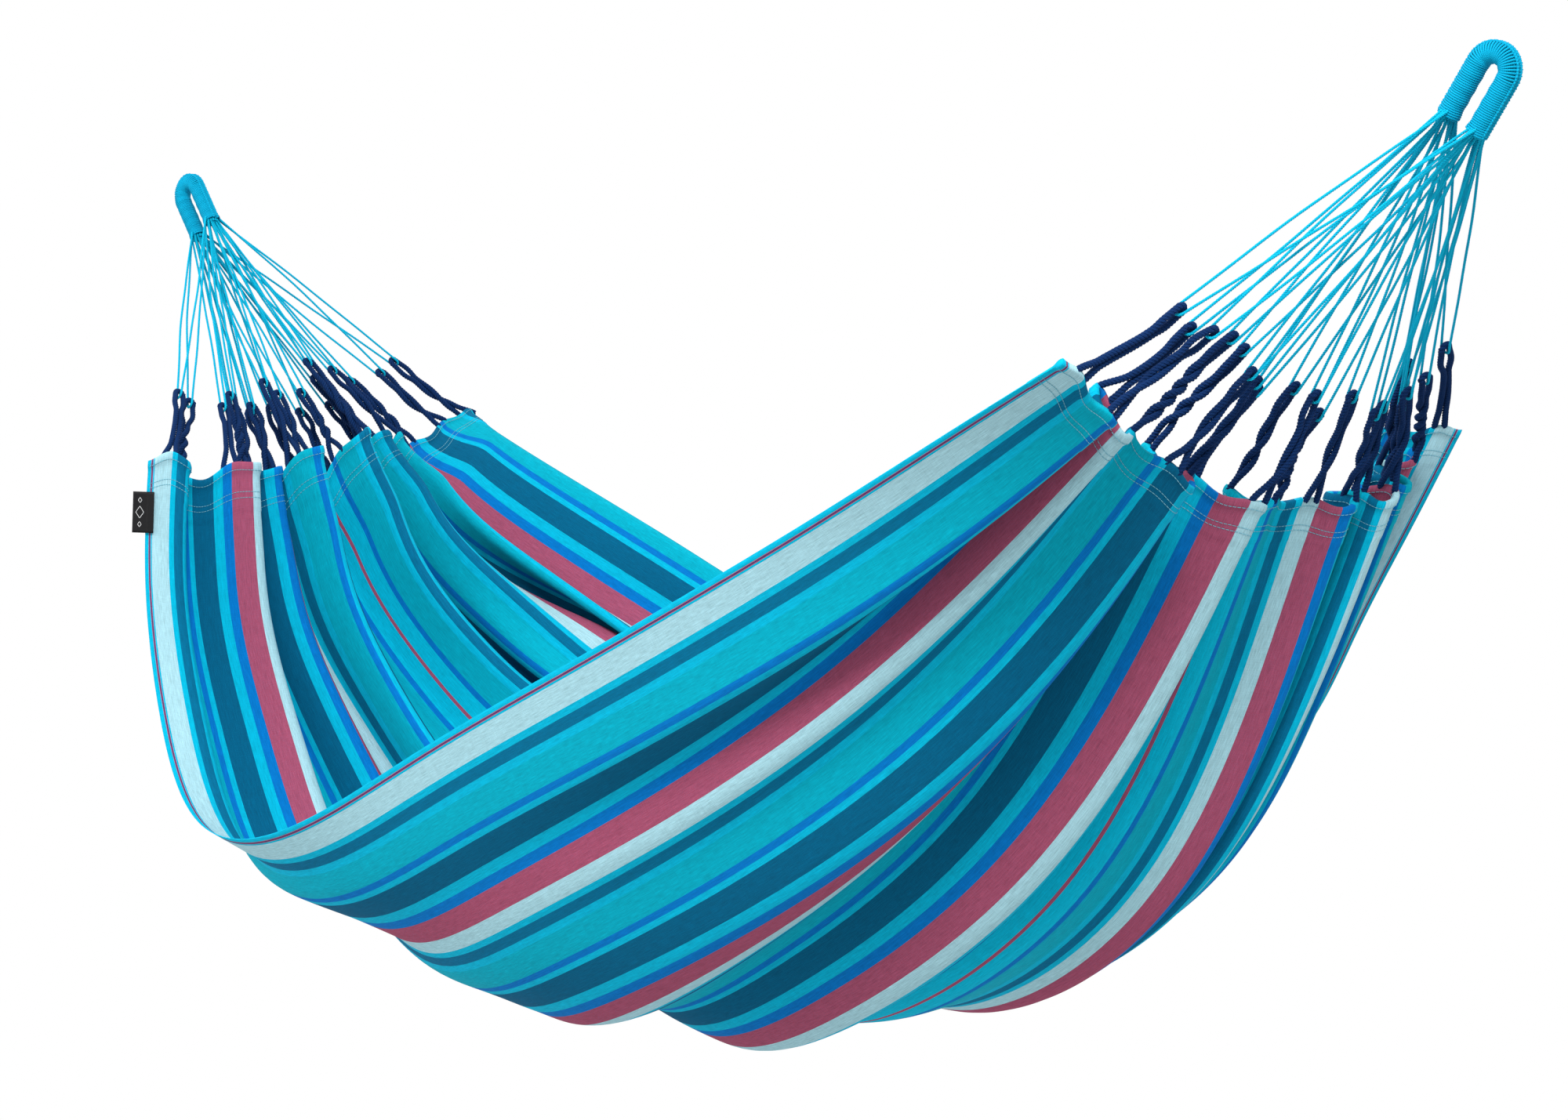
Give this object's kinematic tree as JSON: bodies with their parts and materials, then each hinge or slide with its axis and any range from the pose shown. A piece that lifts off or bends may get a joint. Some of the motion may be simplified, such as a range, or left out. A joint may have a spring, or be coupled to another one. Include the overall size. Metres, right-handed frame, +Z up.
{
  "type": "rope hammock",
  "caption": "Hammock of striped woven cloth, hung by twisted rope loops and thin suspension cords from a braided eye at each end.",
  "frame": {"origin": "seat of the left hook, the inside of the left eye's bend", "axes": "+X from the left hook to the right hook, +Z up, +Y across the cloth, from the near edge to the far edge"},
  "size_m": [2.3066, 0.8469, 1.2131],
  "materials": {
    "striped_cloth": "woven cotton with lengthwise stripes of turquoise, teal, blue, dull red and pale grey-blue",
    "navy_rope": "twisted cotton rope, navy",
    "turquoise_cord": "fine twisted cord, turquoise",
    "turquoise_braid": "crocheted cord sleeve, turquoise",
    "stitch_thread": "sewing thread, pale turquoise",
    "black_label": "woven satin label, near black"
  },
  "bodies": {
    "eyes": {"left_eye_core": "turquoise_cord", "left_eye_sleeve": "turquoise_braid", "left_eye_whippings": "turquoise_braid", "right_eye_core": "turquoise_cord", "right_eye_sleeve": "turquoise_braid", "right_eye_whippings": "turquoise_braid"},
    "sling": {"cloth_bed": "striped_cloth", "label_margin": "black_label", "left_hem_stitches": "stitch_thread", "left_rope_loop_01": "navy_rope", "left_rope_loop_02": "navy_rope", "left_rope_loop_03": "navy_rope", "left_rope_loop_04": "navy_rope", "left_rope_loop_05": "navy_rope", "left_rope_loop_06": "navy_rope", "left_rope_loop_07": "navy_rope", "left_rope_loop_08": "navy_rope", "left_rope_loop_09": "navy_rope", "left_rope_loop_10": "navy_rope", "left_rope_loop_11": "navy_rope", "left_rope_loop_12": "navy_rope", "left_rope_loop_13": "navy_rope", "left_rope_loop_14": "navy_rope", "left_rope_loop_15": "navy_rope", "left_rope_loop_16": "navy_rope", "left_rope_loop_17": "navy_rope", "left_rope_loop_18": "navy_rope", "left_rope_loop_19": "navy_rope", "left_rope_loop_20": "navy_rope", "left_suspension_cords": "turquoise_cord", "right_hem_stitches": "stitch_thread", "right_rope_loop_01": "navy_rope", "right_rope_loop_02": "navy_rope", "right_rope_loop_03": "navy_rope", "right_rope_loop_04": "navy_rope", "right_rope_loop_05": "navy_rope", "right_rope_loop_06": "navy_rope", "right_rope_loop_07": "navy_rope", "right_rope_loop_08": "navy_rope", "right_rope_loop_09": "navy_rope", "right_rope_loop_10": "navy_rope", "right_rope_loop_11": "navy_rope", "right_rope_loop_12": "navy_rope", "right_rope_loop_13": "navy_rope", "right_rope_loop_14": "navy_rope", "right_rope_loop_15": "navy_rope", "right_rope_loop_16": "navy_rope", "right_rope_loop_17": "navy_rope", "right_rope_loop_18": "navy_rope", "right_rope_loop_19": "navy_rope", "right_rope_loop_20": "navy_rope", "right_suspension_cords": "turquoise_cord"},
    "label": {"label_flap": "black_label"}
  },
  "joints": [
    {"name": "swing", "type": "hinge", "parent": "eyes", "child": "sling", "pos_m": [0, 0, 0], "axis": [1, 0, 0], "range_deg": [-35, 35]},
    {"name": "label_bend", "type": "hinge", "parent": "sling", "child": "label", "pos_m": [0.2976, -0.303, -0.4889], "axis": [-0.0226, -0.0282, -0.9993], "range_deg": [-50, 20], "stiffness_Nm_per_rad": 0.001}
  ]
}
